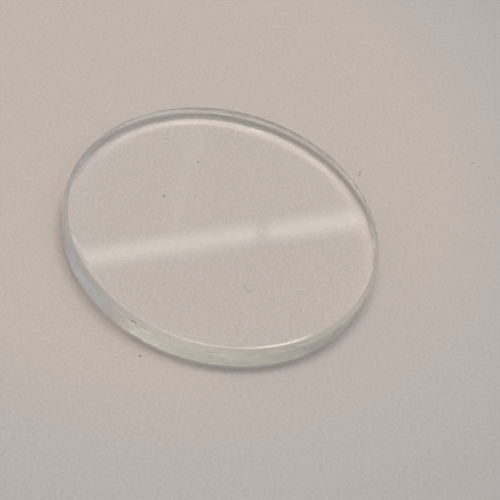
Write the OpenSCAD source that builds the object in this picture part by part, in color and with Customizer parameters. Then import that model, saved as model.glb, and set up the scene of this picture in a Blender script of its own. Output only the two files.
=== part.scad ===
// Flat round mineral-glass watch crystal, lying on its underside.
// One disc of glass: two polished faces, a ground wall between them and a
// ground chamfer at each end of the wall. Millimetres, +Z up, with the origin
// at the centre of the underside.

/* [Disc] */
// Outside diameter of the disc, across its ground wall
crystal_d = 32; // [20:0.5:45]
// Thickness between the two polished faces
crystal_t = 2.5; // [1.8:0.1:4]

/* [Upper edge] */
// Width of the upper chamfer, seen from above
upper_chamfer_w = 0.45; // [0.2:0.05:0.7]
// Height of the upper chamfer, seen from the side
upper_chamfer_h = 0.45; // [0.2:0.05:0.7]
// Width of the margin where the polishing pad has rolled off the upper face
roll_off_w = 0.5; // [0.2:0.05:1]
// How far the upper face has dropped at the outer end of that margin
roll_off_drop = 0.025; // [0.01:0.005:0.08]

/* [Lower edge] */
// Width of the lower chamfer, seen from below
lower_chamfer_w = 0.4; // [0.1:0.05:0.7]
// Height of the lower chamfer, seen from the side
lower_chamfer_h = 0.4; // [0.1:0.05:0.7]

/* [Hidden] */

// Facets round the disc where it is drawn as a mesh
round_facets = 180;
// Steps along the roll-off's arc
roll_off_steps = 6;

wall_r = crystal_d / 2;
// Outer end of the upper face, where its chamfer begins
upper_face_r = wall_r - upper_chamfer_w;
// Truly flat part of the upper face
upper_flat_r = upper_face_r - roll_off_w;
lower_face_r = wall_r - lower_chamfer_w;
wall_bottom_z = lower_chamfer_h;
wall_top_z = crystal_t - roll_off_drop - upper_chamfer_h;

// The roll-off is an arc that leaves the flat face without a kink
roll_off_r = (pow(roll_off_w, 2) + pow(roll_off_drop, 2)) / (2 * roll_off_drop);
roll_off_angle = asin(roll_off_w / roll_off_r);

// Points from the chamfer's arris in to the flat face
function roll_off_points() = [
    for (step = [0:roll_off_steps])
        let (angle = roll_off_angle * (1 - step / roll_off_steps))
        [upper_flat_r + roll_off_r * sin(angle),
         crystal_t - roll_off_r * (1 - cos(angle))]
];

// Half of the disc's cross-section, right of its axis
module half_section() {
    polygon(concat(
        [[0, 0],
         [lower_face_r, 0],
         [wall_r, wall_bottom_z],
         [wall_r, wall_top_z]],
        roll_off_points(),
        [[0, crystal_t]]
    ));
}

module crystal() {
    color([0.8, 0.86, 0.83, 0.35])
        rotate_extrude($fn = round_facets)
            half_section();
}

crystal();
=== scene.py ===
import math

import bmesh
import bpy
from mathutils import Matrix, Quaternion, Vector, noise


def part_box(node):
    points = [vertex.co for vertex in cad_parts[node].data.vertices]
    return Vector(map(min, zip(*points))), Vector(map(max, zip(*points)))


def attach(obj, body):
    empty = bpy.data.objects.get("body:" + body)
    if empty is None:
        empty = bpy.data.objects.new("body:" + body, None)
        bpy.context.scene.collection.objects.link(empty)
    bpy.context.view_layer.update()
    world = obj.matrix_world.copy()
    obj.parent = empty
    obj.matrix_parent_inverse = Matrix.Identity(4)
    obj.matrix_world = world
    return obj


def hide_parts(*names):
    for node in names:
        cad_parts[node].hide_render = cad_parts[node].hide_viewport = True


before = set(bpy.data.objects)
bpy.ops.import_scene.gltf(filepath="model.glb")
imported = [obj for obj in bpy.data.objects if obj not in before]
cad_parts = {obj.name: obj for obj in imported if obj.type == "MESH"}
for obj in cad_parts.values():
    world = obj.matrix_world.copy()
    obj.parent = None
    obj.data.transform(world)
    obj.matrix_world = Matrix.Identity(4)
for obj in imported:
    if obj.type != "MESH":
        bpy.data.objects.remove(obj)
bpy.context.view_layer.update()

# A round mineral-glass watch crystal lying on a pale table: one disc with two
# polished faces, a ground wall and a ground chamfer at each end of the wall.
# Lengths are in metres and angles in degrees, unless a comment says otherwise.
# Azimuths start straight behind the disc, as the camera sees it, and grow
# towards its right. Angles round the disc start at +X and grow towards +Y.

MM = 0.001
DEG = math.pi / 180

# The disc's outside, from the frame. Its mesh there has flat facets, so the
# narrower of its two widths is taken, which stays inside it
lowest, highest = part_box("crystal")
WALL_R = min(highest.x - lowest.x, highest.y - lowest.y) / 2
THICKNESS = highest.z - lowest.z

# The edge's shape. The roll-off is the upper face's outer margin, which
# polishing has worn down
UPPER_CHAMFER = 0.45 * MM
LOWER_CHAMFER = 0.40 * MM
ROLL_OFF_WIDTH = 0.50 * MM
ROLL_OFF_DROP = 0.025 * MM
ARRIS_RADIUS = 0.008 * MM

UPPER_FACE_R = WALL_R - UPPER_CHAMFER
LOWER_FACE_R = WALL_R - LOWER_CHAMFER
UPPER_FLAT_R = UPPER_FACE_R - ROLL_OFF_WIDTH
WALL_TOP_Z = THICKNESS - ROLL_OFF_DROP - UPPER_CHAMFER

# The mesh
COLUMNS = 480
ARRIS_STEPS = 4
ROLL_OFF_STEPS = 12
CHAMFER_RINGS = 8
WALL_RINGS = 10
# Gap between a bend and the loop of points that holds the flat beside it flat
HOLD = 0.015 * MM

# Nibbles on the arris between the wall and the upper chamfer: angle round the
# disc, height, size along the rim and depth
NIBBLES = (
    (250.1, 2.08 * MM, 0.24 * MM, 0.03 * MM),
    (255.5, 2.12 * MM, 0.15 * MM, 0.03 * MM),
    (308.0, 2.16 * MM, 0.13 * MM, 0.03 * MM),
)
# Mesh columns on each side of a nibble, and how many of its sizes they cover
NIBBLE_COLUMNS = 12
NIBBLE_MARGIN = 1.3
# How far a nibble's outline strays, as a share of its size, and the grain of that
NIBBLE_RAGGED = 0.35
NIBBLE_GRAIN = 0.05 * MM
# How much of a nibble's depth goes inward and how much downward
NIBBLE_INWARD = 0.92
NIBBLE_DOWNWARD = 0.38

# The glass: its index, its colour in depth and how strongly a metre takes it on
GLASS_IOR = 1.52
TINT = (0.20, 0.80, 0.60)
TINT_DENSITY = 1.4

# The ground edge: the lower chamfer, the wall and the upper chamfer
GROUND_ROUGHNESS = (0.22, 0.20, 0.90)
GROUND_COLOUR = ((0.90, 0.89, 0.88), (0.81, 0.80, 0.79), (0.80, 0.79, 0.78))
# How far the finish takes to change: on each side of a face's edge, on each
# side of the wall's foot, and above the wall's head
FACE_BLEND = 0.01 * MM
FOOT_BLEND = 0.03 * MM
HEAD_BLEND = 0.075 * MM
# Grinding left round grains and marks dragged along the rim. Both are counted
# in each metre, and the marks are so many times finer along x, y and z
GROUND_GRAIN = 6 / MM
DRAG_GRAIN = 1.2 / MM
DRAG_FINENESS = (1, 1, 9)
# How high the grains stand, and what they do to roughness and to shade, from
# their least to their most
GRAIN_BUMP = 0.0006 * MM
GRAIN_ROUGHNESS = (0.88, 1.12)
GRAIN_SHADE = (0.95, 1.05)
# Painted cool light on one side of the ground edge, which there passes less red: the angle
# round the disc of that side's middle, the painted colour it passes there, and the cosines
# of the angles from there at which this starts and is full
PAINTED_COOL_LIGHT_SIDE = 190
PAINTED_COOL_LIGHT_COLOUR = (0.88, 0.93, 1.0)
PAINTED_COOL_LIGHT_RANGE = (0.5, 0.95)

# Faint smears of handling on the polish: how many in each metre, the part of
# the noise that they start and are full at, and how much they dull it
SMEAR_GRAIN = 0.11 / MM
SMEAR_RANGE = (0.42, 0.62)
SMEAR_ROUGHNESS = 0.03
# How much the densest of the fine dust on the faces dims what shows through
DUST_SHADE = 0.952

# Dust and dirt on the upper face: x, y and size in millimetres, and density
FLECKS = (
    (-4.27, 6.71, 0.17, 0.34),
    (-6.46, 0.91, 0.17, 0.34),
    (-7.96, 8.70, 0.17, 0.30),
    (-8.10, 9.35, 0.10, 0.30),
    (-7.90, 7.90, 0.10, 0.25),
    (-9.10, 8.75, 0.09, 0.20),
    (14.08, -6.26, 0.14, 0.45),
)
# A fibre on the upper face, as x and y in millimetres of points on it
FIBRE = ((3.45, -7.20), (4.12, -7.90), (4.50, -7.62), (4.80, -7.32))
FIBRE_WIDTH = 0.06 * MM
FIBRE_DENSITY = 0.13
# How dense the darkened colour in each nibble is, how far it spreads, as a share of the
# nibble's size, and how deep it lies, as a share of its depth
NIBBLE_DARKENING = (0.65, 0.45, 0.55)
NIBBLE_DARKENING_SPREAD = 0.8
NIBBLE_DARKENING_DEPTH = 0.5
DIRT_AND_DARKENING_COLOUR = (0.09, 0.075, 0.06)
DIRT_AND_DARKENING_ROUGHNESS = 0.7

# The noise's middle part, where most of its values lie
NOISE_RANGE = (0.3, 0.7)
# The grain of the faces' dust and of the table, in each metre, and how much
# fine detail it has
DUST_GRAIN = 3 / MM
DUST_DETAIL = 0.6
# The grain of a fleck's ragged outline, in each metre
FLECK_GRAIN = 14 / MM
# The share of their size or width that flecks and threads fill evenly
FLECK_CORE = 0.6
THREAD_CORE = 0.5

# The table
FLOOR_COLOUR = (0.538, 0.516, 0.504)
FLOOR_SHADE = (0.95, 1.05)
FLOOR_ROUGHNESS = 0.75
FLOOR_SHINE = 0.2
FLOOR_R = 1.5
FLOOR_SIDES = 96
# Specks on the table: x, y and size in millimetres, and density
FLOOR_SPECKS = (
    (-3.97, -17.01, 0.19, 0.42),
    (12.44, 14.40, 0.15, 0.45),
    (12.44, 14.05, 0.15, 0.40),
    (24.31, 20.71, 0.15, 0.35),
    (26.30, 19.17, 0.15, 0.35),
)
# The lamp's pool of light on the table: where its middle lies, how far from
# there the table starts and ends growing dimmer and cooler, and what is left
# of its colour there
POOL_MIDDLE = Vector((-10, 12, 0)) * MM
POOL_REACH = (30 * MM, 56 * MM)
POOL_FADE = (0.81, 0.872, 0.952)
# The disc rests on the table's grain, so a little air lies under it
AIR_GAP = 0.02 * MM

# The camera: focal length in millimetres, distance, elevation, roll, aim and
# the nearest that it sees
CAMERA_LENS = 115.2
CAMERA_DISTANCE = 161.0 * MM
CAMERA_ELEVATION = 48.861
CAMERA_ROLL = 17.812
CAMERA_AIM = Vector((3.313, -0.542, 0)) * MM
CAMERA_NEAREST = 1 * MM

# The room: an even pale light from all round and soft boxes in it. For each
# box: azimuth, elevation, width, height, softness of its edges and turn, then
# its colour and brightness
ROOM_LIGHT = (0.36, 0.325, 0.296)
SOFT_BOXES = (
    ("ceiling", -18, 72, 44, 16, 7, 0, (1.10, 0.99, 0.89), 6.6),
    ("lamp", 16, 59.0, 7.9, 4.6, 1.6, 36, (1.0, 0.94, 0.86), 5.2),
    ("back wall", -2, 42, 26, 34, 12, 0, (1.02, 0.96, 0.89), 0.56),
    ("warm side", -92, 28, 80, 36, 20, 0, (1.25, 0.98, 0.66), 0.46),
    ("cool side", 98, 50, 84, 40, 28, 0, (0.74, 0.92, 1.16), 0.40),
    ("left tube", -13.6, 52.0, 21.2, 0.6, 0.7, -14.2, (1.0, 0.97, 0.93), 1.5),
    ("right tube", 13.75, 43.5, 18.4, 0.6, 0.7, -34.7, (1.0, 0.97, 0.93), 1.5),
    ("far tube", -2.6, 46.9, 0.5, 4.4, 0.6, 0, (1.0, 0.95, 0.88), 0.28),
)
# Seen through the glass this box would draw a streak on the wall, which the
# photograph lacks, so it only shows in reflections and lights what lies open
REFLECTED_BOX = "lamp"
# Cosine of the widest angle from a box's middle at which the box is still seen
BOX_LIMIT = 0.01
# Light crosses the disc many times between its faces before it leaves the edge
BOUNCES = 32


def arc_between(before, corner, after, radius, steps):
    """Points of the arc that rounds a corner of the profile."""
    back = (before - corner).normalized()
    ahead = (after - corner).normalized()
    half = back.angle(ahead) / 2
    reach = radius / math.tan(half)
    centre = corner + (back + ahead).normalized() * (radius / math.sin(half))
    first = corner + back * reach - centre
    last = corner + ahead * reach - centre
    turn = first.angle_signed(last)
    points = []
    for step in range(steps + 1):
        angle = -turn * step / steps
        points.append(centre + Vector((
            first.x * math.cos(angle) - first.y * math.sin(angle),
            first.x * math.sin(angle) + first.y * math.cos(angle),
        )))
    return points


def roll_off():
    """Points from the outer arris of the upper face in to its flat part."""
    radius = (ROLL_OFF_WIDTH**2 + ROLL_OFF_DROP**2) / (2 * ROLL_OFF_DROP)
    full = math.asin(ROLL_OFF_WIDTH / radius)
    points = []
    for step in range(ROLL_OFF_STEPS + 1):
        angle = full * (1 - step / ROLL_OFF_STEPS)
        points.append(Vector((
            UPPER_FLAT_R + radius * math.sin(angle),
            THICKNESS - radius * (1 - math.cos(angle)),
        )))
    return points


def split(start, end, count):
    """Points on the line between two points, with one held close to each end."""
    length = (end - start).length
    ends = (start.lerp(end, HOLD / length), end.lerp(start, HOLD / length))
    return [ends[0].lerp(ends[1], step / count) for step in range(count + 1)]


def half_section():
    """The disc's outline from the underside's middle out, up and back in."""
    corners = (
        Vector((0, 0)),
        Vector((LOWER_FACE_R, 0)),
        Vector((WALL_R, LOWER_CHAMFER)),
        Vector((WALL_R, WALL_TOP_Z)),
        roll_off()[0],
        roll_off()[1],
    )
    rounded = [
        arc_between(*corners[i - 1:i + 2], ARRIS_RADIUS, ARRIS_STEPS)
        for i in range(1, len(corners) - 1)
    ]
    lower_arris, wall_foot, wall_head, upper_arris = rounded
    points = [Vector((LOWER_FACE_R / 2, 0)), lower_arris[0] - Vector((HOLD, 0))]
    points += lower_arris
    points += split(lower_arris[-1], wall_foot[0], CHAMFER_RINGS)
    points += wall_foot
    points += split(wall_foot[-1], wall_head[0], WALL_RINGS)
    points += wall_head
    points += split(wall_head[-1], upper_arris[0], CHAMFER_RINGS)
    points += upper_arris
    points += roll_off()[1:]
    points += [Vector((UPPER_FLAT_R - HOLD, THICKNESS)), Vector((UPPER_FLAT_R / 2, THICKNESS))]
    return points


def column_angles():
    """Angles of the mesh's columns in radians, closer together round each nibble."""
    pitch = 2 * math.pi / COLUMNS
    close = []
    for angle, _, size, _ in NIBBLES:
        reach = NIBBLE_MARGIN * size / WALL_R
        for step in range(-NIBBLE_COLUMNS, NIBBLE_COLUMNS + 1):
            close.append(angle * DEG + reach * step / NIBBLE_COLUMNS)
    least = pitch / 4
    even = [k * pitch for k in range(COLUMNS)]
    clear = [a for a in even if all(abs(a - c) > least for c in close)]
    return sorted(clear + close)


def nibbled(angle, radius, height):
    """A point of the disc, moved in where a nibble has broken the edge away."""
    bite = 0
    for place, level, size, depth in NIBBLES:
        along = (angle - place * DEG) * WALL_R / size
        up = (height - level) / size
        cell = Vector((angle * WALL_R, height, place * MM)) / NIBBLE_GRAIN
        away = math.hypot(along, up) + NIBBLE_RAGGED * noise.noise(cell)
        if radius > UPPER_FACE_R and away < 1:
            bite = max(bite, depth * math.sqrt(1 - max(away, 0)**2))
    return radius - bite * NIBBLE_INWARD, height - bite * NIBBLE_DOWNWARD


def make_crystal():
    """The disc as rings of points round its axis, closed at the middle of each face."""
    mesh = bpy.data.meshes.new("watch_crystal")
    built = bmesh.new()
    angles = column_angles()
    foot = built.verts.new((0, 0, 0))
    crown = built.verts.new((0, 0, THICKNESS))
    rings = []
    for point in half_section():
        ring = []
        for angle in angles:
            radius, height = nibbled(angle, *point)
            ring.append(built.verts.new((radius * math.cos(angle), radius * math.sin(angle), height)))
        rings.append(ring)
    count = len(angles)
    for k in range(count):
        after = (k + 1) % count
        built.faces.new((foot, rings[0][after], rings[0][k]))
        built.faces.new((crown, rings[-1][k], rings[-1][after]))
        for inner, outer in zip(rings, rings[1:]):
            built.faces.new((inner[k], inner[after], outer[after], outer[k]))
    for face in built.faces:
        face.smooth = True
    built.to_mesh(mesh)
    built.free()
    piece = bpy.data.objects.new("watch_crystal", mesh)
    bpy.context.scene.collection.objects.link(piece)
    return piece


def make_camera():
    """The photograph's camera: a long lens held over the front of the disc and rolled."""
    elevation = CAMERA_ELEVATION * DEG
    place = Vector((0, -math.cos(elevation), math.sin(elevation))) * CAMERA_DISTANCE
    level = (CAMERA_AIM - place).to_track_quat("-Z", "Y")
    lens = bpy.data.cameras.new("camera")
    lens.lens = CAMERA_LENS
    lens.clip_start = CAMERA_NEAREST
    camera = bpy.data.objects.new("camera", lens)
    camera.location = place
    camera.rotation_mode = "QUATERNION"
    camera.rotation_quaternion = level @ Quaternion((0, 0, 1), CAMERA_ROLL * DEG)
    bpy.context.scene.collection.objects.link(camera)
    bpy.context.scene.camera = camera


def put(tree, kind, inputs=(), **settings):
    """A new node with its settings, and with its inputs linked or set."""
    node = tree.nodes.new(kind)
    for name, value in settings.items():
        setattr(node, name, value)
    for name, value in dict(inputs).items():
        if isinstance(value, bpy.types.NodeSocket):
            tree.links.new(value, node.inputs[name])
        else:
            node.inputs[name].default_value = value
    return node


def maths(tree, operation, first, second=0.0):
    """The result of one operation on two numbers or sockets."""
    return put(tree, "ShaderNodeMath", {0: first, 1: second}, operation=operation).outputs[0]


def vector_maths(tree, operation, first, second, output="Vector"):
    """The result of one operation on two vectors or sockets."""
    node = put(tree, "ShaderNodeVectorMath", {0: first, 1: second}, operation=operation)
    return node.outputs[output]


def scaled(tree, vector, share):
    """A vector or colour times a number."""
    node = put(tree, "ShaderNodeVectorMath", {0: vector, "Scale": share}, operation="SCALE")
    return node.outputs[0]


def mix(tree, factor, first, second, kind="RGBA", **settings):
    """Two colours or numbers mixed by a factor."""
    low, high, result = {"FLOAT": (2, 3, 0), "RGBA": (6, 7, 2)}[kind]
    inputs = {"Factor": factor, low: first, high: second}
    return put(tree, "ShaderNodeMix", inputs, data_type=kind, **settings).outputs[result]


def smooth_step(tree, value, low, high, below=0.0, above=1.0):
    """A smooth step from below to above as value goes from low to high."""
    inputs = {"Value": value, "From Min": low, "From Max": high, "To Min": below, "To Max": above}
    return put(tree, "ShaderNodeMapRange", inputs, interpolation_type="SMOOTHSTEP").outputs[0]


def speckle(tree, place, scale, detail=2.0, roughness=0.5):
    """Fractal noise at a point, from 0 to 1."""
    inputs = {"Vector": place, "Scale": scale, "Detail": detail, "Roughness": roughness}
    return put(tree, "ShaderNodeTexNoise", inputs).outputs[0]


def ground_part(tree, place, height):
    """1 on the ground wall and chamfers, 0 on the polished faces."""
    flat = vector_maths(tree, "MULTIPLY", place, (1, 1, 0))
    radius = vector_maths(tree, "LENGTH", flat, (0, 0, 0), "Value")
    # The radius where the ground part begins changes half-way up, far from both faces
    face_r = smooth_step(tree, height, 0.4 * THICKNESS, 0.6 * THICKNESS, LOWER_FACE_R, UPPER_FACE_R)
    return smooth_step(tree, maths(tree, "SUBTRACT", radius, face_r), -FACE_BLEND, FACE_BLEND)


def by_part(tree, height, values, kind="FLOAT"):
    """The lower chamfer's, the wall's or the upper chamfer's value, by height."""
    lower, wall, upper = values
    over_foot = smooth_step(tree, height, LOWER_CHAMFER - FOOT_BLEND, LOWER_CHAMFER + FOOT_BLEND)
    over_head = smooth_step(tree, height, WALL_TOP_Z, WALL_TOP_Z + HEAD_BLEND)
    below = mix(tree, over_foot, lower, wall, kind)
    return mix(tree, over_head, below, upper, kind)


def ground_grain(tree, place):
    """The ground edge's unevenness: half from its grains, half from its dragged marks."""
    grain = speckle(tree, place, GROUND_GRAIN, detail=3.0)
    stretched = vector_maths(tree, "MULTIPLY", place, DRAG_FINENESS)
    drag = speckle(tree, stretched, DRAG_GRAIN, detail=3.0)
    return maths(tree, "ADD", maths(tree, "MULTIPLY", grain, 0.5), maths(tree, "MULTIPLY", drag, 0.5))


def fleck(tree, place, ragged, centre, size):
    """1 inside a ragged spot round a point, 0 outside it."""
    away = vector_maths(tree, "DISTANCE", place, centre, "Value")
    away = maths(tree, "ADD", away, maths(tree, "MULTIPLY", ragged, size))
    return smooth_step(tree, away, FLECK_CORE * size, size, 1, 0)


def thread(tree, place, start, end, width):
    """1 inside a straight thread between two points, 0 outside it."""
    along = end - start
    offset = vector_maths(tree, "SUBTRACT", place, start)
    share = vector_maths(tree, "DOT_PRODUCT", offset, along / along.length_squared, "Value")
    share = put(tree, "ShaderNodeClamp", {"Value": share}).outputs[0]
    away = vector_maths(tree, "DISTANCE", offset, scaled(tree, along, share), "Value")
    return smooth_step(tree, away, THREAD_CORE * width, width, 1, 0)


def dirt_and_darkening_lines():
    """Start, end, width and density of each thread of dirt on the glass and dark streak in each
    nibble.
    """
    points = [Vector((x * MM, y * MM, THICKNESS)) for x, y in FIBRE]
    lines = [(*ends, FIBRE_WIDTH, FIBRE_DENSITY) for ends in zip(points, points[1:])]
    # Each nibble is darkened along its length, with the same dark colour and dullness as the dirt
    for (angle, height, size, depth), dense in zip(NIBBLES, NIBBLE_DARKENING):
        turn = NIBBLE_DARKENING_SPREAD * size / WALL_R
        radius = WALL_R - NIBBLE_DARKENING_DEPTH * depth
        ends = [
            Vector((radius * math.cos(a), radius * math.sin(a), height))
            for a in (angle * DEG - turn, angle * DEG + turn)
        ]
        lines.append((*ends, NIBBLE_DARKENING_SPREAD * size, dense))
    return lines


def glass_dirt_and_darkening(tree, place):
    """How dense the dirt on the glass and the darkened colour in the nibbles are, from 0 to 1."""
    ragged = maths(tree, "SUBTRACT", speckle(tree, place, FLECK_GRAIN), 0.5)
    dirt_and_darkening = 0.0
    for x, y, size, dense in FLECKS:
        middle = Vector((x * MM, y * MM, THICKNESS))
        spot = maths(tree, "MULTIPLY", fleck(tree, place, ragged, middle, size * MM), dense)
        dirt_and_darkening = maths(tree, "MAXIMUM", spot, dirt_and_darkening)
    for start, end, width, dense in dirt_and_darkening_lines():
        line = maths(tree, "MULTIPLY", thread(tree, place, start, end, width), dense)
        dirt_and_darkening = maths(tree, "MAXIMUM", line, dirt_and_darkening)
    return dirt_and_darkening


def glass_roughness(tree, place, height, ground, uneven, dirt_and_darkening):
    """Rough where it is ground, dirty or darkened in a nibble, and faintly so where the polish is
    smeared.
    """
    dull = by_part(tree, height, GROUND_ROUGHNESS)
    spread = smooth_step(tree, uneven, *NOISE_RANGE, *GRAIN_ROUGHNESS)
    dull = maths(tree, "MULTIPLY", maths(tree, "MULTIPLY", dull, spread), ground)
    smears = speckle(tree, place, SMEAR_GRAIN, detail=4.0)
    dull = maths(tree, "MAXIMUM", dull, smooth_step(tree, smears, *SMEAR_RANGE, 0, SMEAR_ROUGHNESS))
    return maths(tree, "MAXIMUM", dull, maths(tree, "MULTIPLY", dirt_and_darkening, DIRT_AND_DARKENING_ROUGHNESS))


def ground_colour(tree, place, height, uneven):
    """What the ground edge passes: uneven with its grain, and with painted cool light on one side."""
    colour = by_part(tree, height, [(*c, 1) for c in GROUND_COLOUR], "RGBA")
    # Painted cool light: the edge is tinted blue on the side where cool light comes through the glass
    # from the far side
    side = Vector((math.cos(PAINTED_COOL_LIGHT_SIDE * DEG), math.sin(PAINTED_COOL_LIGHT_SIDE * DEG), 0))
    outward = vector_maths(tree, "NORMALIZE", place, (0, 0, 0))
    towards = vector_maths(tree, "DOT_PRODUCT", outward, side, "Value")
    painted_cool_light = smooth_step(tree, towards, *PAINTED_COOL_LIGHT_RANGE)
    with_painted_cool_light = mix(tree, painted_cool_light, colour, (*PAINTED_COOL_LIGHT_COLOUR, 1), blend_type="MULTIPLY")
    return scaled(tree, with_painted_cool_light, smooth_step(tree, uneven, *NOISE_RANGE, *GRAIN_SHADE))


def face_colour(tree, place):
    """What the polished faces pass, through their fine dust."""
    grain = speckle(tree, place, DUST_GRAIN, roughness=DUST_DETAIL)
    dust = smooth_step(tree, grain, *NOISE_RANGE, DUST_SHADE, 1)
    return put(tree, "ShaderNodeCombineColor", {0: dust, 1: dust, 2: dust}).outputs[0]


def glass_material():
    """Clear glass with a faint green depth, polished on its faces and ground on its edge."""
    material = bpy.data.materials.new("mineral_glass")
    material.use_nodes = True
    tree = material.node_tree
    shader = tree.nodes["Principled BSDF"]
    place = put(tree, "ShaderNodeTexCoord").outputs["Object"]
    height = put(tree, "ShaderNodeSeparateXYZ", {0: place}).outputs["Z"]
    ground = ground_part(tree, place, height)
    uneven = ground_grain(tree, place)
    dirt_and_darkening = glass_dirt_and_darkening(tree, place)

    edge = ground_colour(tree, place, height, uneven)
    clean = mix(tree, ground, face_colour(tree, place), edge)
    tree.links.new(mix(tree, dirt_and_darkening, clean, (*DIRT_AND_DARKENING_COLOUR, 1)), shader.inputs["Base Color"])
    dull = glass_roughness(tree, place, height, ground, uneven, dirt_and_darkening)
    tree.links.new(dull, shader.inputs["Roughness"])
    bump = put(tree, "ShaderNodeBump", {"Strength": ground, "Distance": GRAIN_BUMP, "Height": uneven})
    tree.links.new(bump.outputs[0], shader.inputs["Normal"])

    # The glass is clear all over, and only dirt and the darkened colour in the nibbles take some of
    # that away
    shader.inputs["IOR"].default_value = GLASS_IOR
    shader.inputs["Transmission Weight"].default_value = 1.0
    tree.links.new(maths(tree, "SUBTRACT", 1.0, dirt_and_darkening), shader.inputs["Transmission Weight"])
    depth = put(tree, "ShaderNodeVolumeAbsorption", {"Color": (*TINT, 1), "Density": TINT_DENSITY})
    tree.links.new(depth.outputs[0], tree.nodes["Material Output"].inputs["Volume"])
    return material


def table_material():
    """A pale, dull table top with a fine grain, a few specks and a pool of lamp light."""
    material = bpy.data.materials.new("pale_table")
    material.use_nodes = True
    tree = material.node_tree
    shader = tree.nodes["Principled BSDF"]
    place = put(tree, "ShaderNodeTexCoord").outputs["Object"]
    grain = speckle(tree, place, DUST_GRAIN, roughness=DUST_DETAIL)
    shade = smooth_step(tree, grain, *NOISE_RANGE, *FLOOR_SHADE)
    ragged = maths(tree, "SUBTRACT", speckle(tree, place, FLECK_GRAIN), 0.5)
    for x, y, size, dense in FLOOR_SPECKS:
        spot = fleck(tree, place, ragged, Vector((x, y, 0)) * MM, size * MM)
        clear = maths(tree, "SUBTRACT", 1.0, maths(tree, "MULTIPLY", spot, dense))
        shade = maths(tree, "MULTIPLY", shade, clear)
    away = vector_maths(tree, "DISTANCE", place, POOL_MIDDLE, "Value")
    inputs = {"Value": away, "From Min": POOL_REACH[0], "From Max": POOL_REACH[1]}
    dim = put(tree, "ShaderNodeMapRange", inputs).outputs[0]
    faded = [shown * fade for shown, fade in zip(FLOOR_COLOUR, POOL_FADE)]
    pool = mix(tree, dim, (*FLOOR_COLOUR, 1), (*faded, 1))
    tree.links.new(scaled(tree, pool, shade), shader.inputs["Base Color"])
    shader.inputs["Roughness"].default_value = FLOOR_ROUGHNESS
    shader.inputs["Specular IOR Level"].default_value = FLOOR_SHINE
    return material


def make_floor():
    """A wide round table top under the disc."""
    mesh = bpy.data.meshes.new("floor")
    built = bmesh.new()
    bmesh.ops.create_circle(built, cap_ends=True, segments=FLOOR_SIDES, radius=FLOOR_R)
    built.to_mesh(mesh)
    built.free()
    floor = bpy.data.objects.new("floor", mesh)
    floor.location.z = -AIR_GAP
    bpy.context.scene.collection.objects.link(floor)
    mesh.materials.append(table_material())
    return floor


def soft_box(tree, direction, azimuth, elevation, width, height, softness, turn):
    """1 where a direction points into a soft-edged box in the room, 0 elsewhere."""
    a, e, t = azimuth * DEG, elevation * DEG, turn * DEG
    middle = Vector((math.sin(a) * math.cos(e), math.cos(a) * math.cos(e), math.sin(e)))
    right = Vector((math.cos(a), -math.sin(a), 0))
    up = right.cross(middle)
    across = right * math.cos(t) + up * math.sin(t)
    along = up * math.cos(t) - right * math.sin(t)
    ahead = vector_maths(tree, "DOT_PRODUCT", direction, middle, "Value")
    inside = maths(tree, "GREATER_THAN", ahead, BOX_LIMIT)
    ahead = maths(tree, "MAXIMUM", ahead, BOX_LIMIT)
    for axis, size in ((across, width), (along, height)):
        side = vector_maths(tree, "DOT_PRODUCT", direction, axis, "Value")
        offset = maths(tree, "ABSOLUTE", maths(tree, "DIVIDE", side, ahead))
        half = math.tan(size / 2 * DEG)
        edge = math.tan(softness / 2 * DEG)
        within = smooth_step(tree, offset, half - edge, half + edge, 1, 0)
        inside = maths(tree, "MULTIPLY", inside, within)
    return inside


def light_room():
    """A pale even room with soft boxes in it, all in the world's shader."""
    world = bpy.data.worlds.new("room")
    world.use_nodes = True
    bpy.context.scene.world = world
    tree = world.node_tree
    direction = put(tree, "ShaderNodeTexCoord").outputs["Generated"]
    through_glass = put(tree, "ShaderNodeLightPath").outputs["Is Transmission Ray"]
    light = ROOM_LIGHT
    for name, azimuth, elevation, width, height, softness, turn, colour, brightness in SOFT_BOXES:
        inside = soft_box(tree, direction, azimuth, elevation, width, height, softness, turn)
        if name == REFLECTED_BOX:
            inside = maths(tree, "MULTIPLY", inside, maths(tree, "SUBTRACT", 1.0, through_glass))
        glow = scaled(tree, colour, maths(tree, "MULTIPLY", inside, brightness))
        light = vector_maths(tree, "ADD", glow, light)
    tree.links.new(light, tree.nodes["Background"].inputs["Color"])


scene = bpy.context.scene
scene.view_settings.view_transform = "Standard"
scene.cycles.max_bounces = BOUNCES
scene.cycles.transmission_bounces = BOUNCES
scene.cycles.glossy_bounces = BOUNCES
# Rough surfaces seen after a bounce aren't blurred any further
scene.cycles.blur_glossy = 0

make_camera()
light_room()
make_floor()

crystal = make_crystal()
crystal.data.materials.append(glass_material())
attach(crystal, "root")
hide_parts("crystal")
